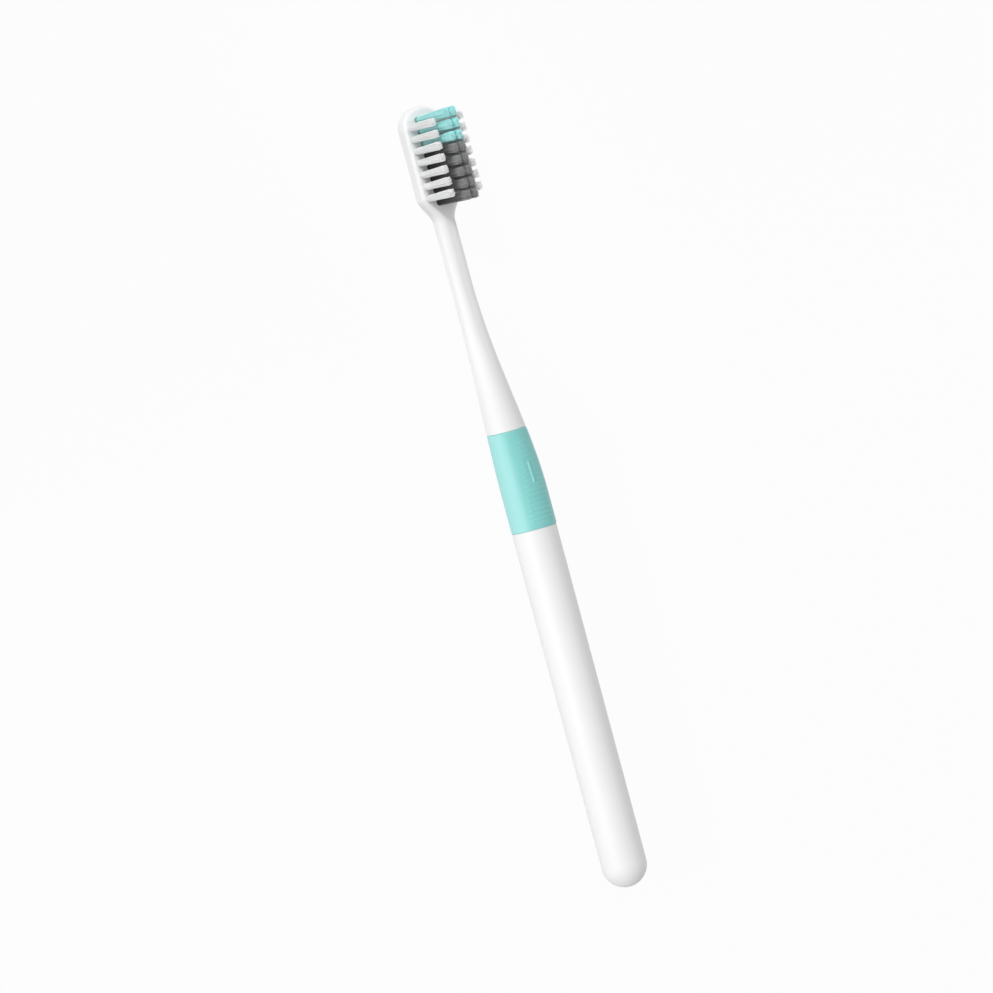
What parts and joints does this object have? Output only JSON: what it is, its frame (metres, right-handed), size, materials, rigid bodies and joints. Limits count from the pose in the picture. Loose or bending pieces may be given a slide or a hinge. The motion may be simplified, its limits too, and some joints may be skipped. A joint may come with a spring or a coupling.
{
  "type": "manual toothbrush",
  "caption": "Toothbrush with a slim round handle, a rubber thumb grip, a narrow neck and a flat head that holds staggered rows of bristle tufts.",
  "frame": {"origin": "middle of the brush's bounding box on the surface that it lies on", "axes": "+X from the head to the end of the handle, +Y to the brush's right side seen from the handle with the bristles up, +Z the way the bristles point"},
  "size_m": [0.18, 0.0104, 0.0165],
  "materials": {
    "white_plastic": "smooth moulded plastic with a soft gloss",
    "grip_rubber": "soft satin mint rubber with fine ribs",
    "bristle_white": "white drawn filament",
    "bristle_mint": "mint drawn filament",
    "bristle_grey": "dark grey drawn filament",
    "anchor_metal": "flat rolled strip"
  },
  "bodies": {
    "root": {"handle": "white_plastic", "grip_sleeve": "grip_rubber", "tuft_anchors": "anchor_metal", "tuft_left_outer_1": "bristle_white", "tuft_left_outer_2": "bristle_white", "tuft_left_outer_3": "bristle_white", "tuft_left_outer_4": "bristle_white", "tuft_left_outer_5": "bristle_white", "tuft_left_outer_6": "bristle_white", "tuft_left_outer_7": "bristle_white", "tuft_left_inner_1": "bristle_mint", "tuft_left_inner_2": "bristle_mint", "tuft_left_inner_3": "bristle_mint", "tuft_left_inner_4": "bristle_grey", "tuft_left_inner_5": "bristle_grey", "tuft_left_inner_6": "bristle_grey", "tuft_left_inner_7": "bristle_grey", "tuft_left_inner_8": "bristle_grey", "tuft_right_outer_1": "bristle_white", "tuft_right_outer_2": "bristle_white", "tuft_right_outer_3": "bristle_white", "tuft_right_outer_4": "bristle_white", "tuft_right_outer_5": "bristle_white", "tuft_right_outer_6": "bristle_white", "tuft_right_outer_7": "bristle_white", "tuft_right_inner_1": "bristle_mint", "tuft_right_inner_2": "bristle_mint", "tuft_right_inner_3": "bristle_mint", "tuft_right_inner_4": "bristle_grey", "tuft_right_inner_5": "bristle_grey", "tuft_right_inner_6": "bristle_grey", "tuft_right_inner_7": "bristle_grey", "tuft_right_inner_8": "bristle_grey"}
  },
  "joints": []
}
